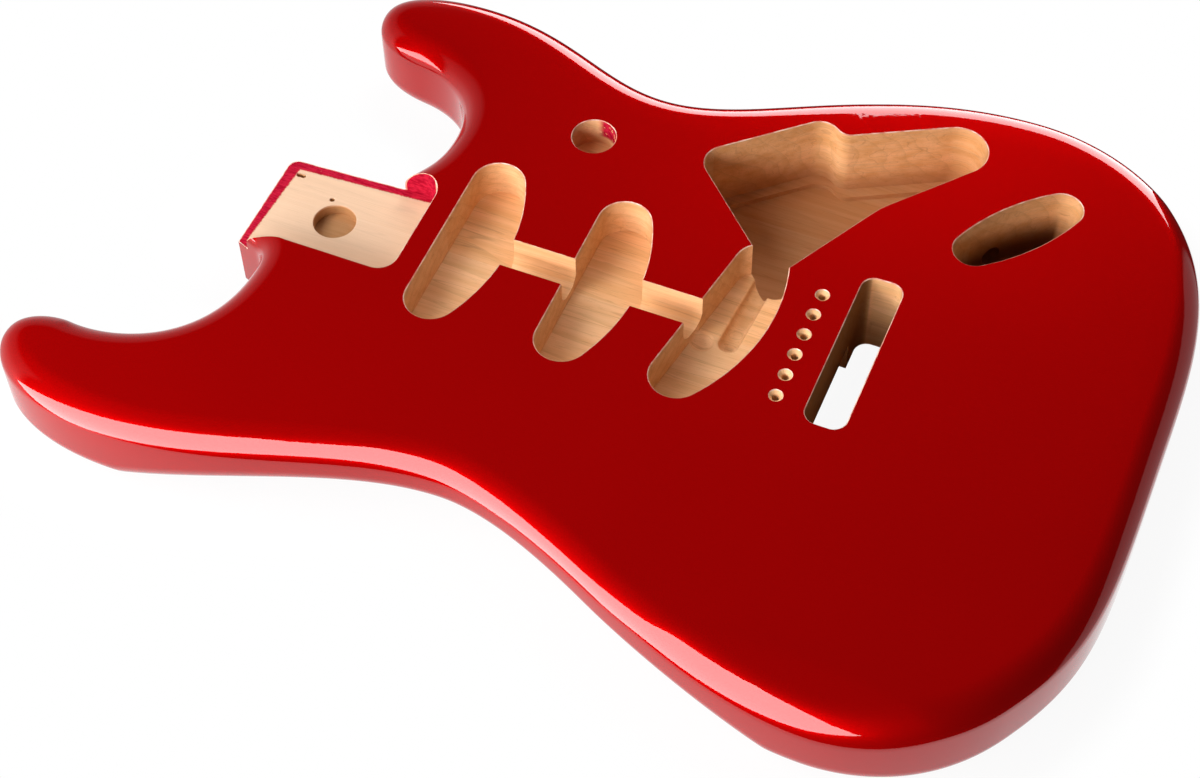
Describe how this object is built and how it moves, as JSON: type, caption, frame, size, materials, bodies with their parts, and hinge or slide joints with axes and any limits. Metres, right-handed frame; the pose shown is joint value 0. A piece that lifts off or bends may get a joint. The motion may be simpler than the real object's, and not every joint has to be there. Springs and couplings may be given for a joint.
{
  "type": "electric guitar body",
  "caption": "Bare double-cutaway electric guitar body of glued staves in red gloss lacquer, routed for neck, pickups, controls, jack and bridge",
  "frame": {"origin": "under the middle of the bounding box, on the flat back", "axes": "+X towards the tail end, +Y towards the treble side, +Z out of the front face"},
  "size_m": [0.4648, 0.3258, 0.0445],
  "materials": {
    "lacquered_wood": "gloss lacquer outside, bare wood in the routes"
  },
  "bodies": {
    "root": {"stave_bass_edge": "lacquered_wood", "stave_bass": "lacquered_wood", "stave_treble": "lacquered_wood", "stave_treble_edge": "lacquered_wood"}
  },
  "joints": []
}
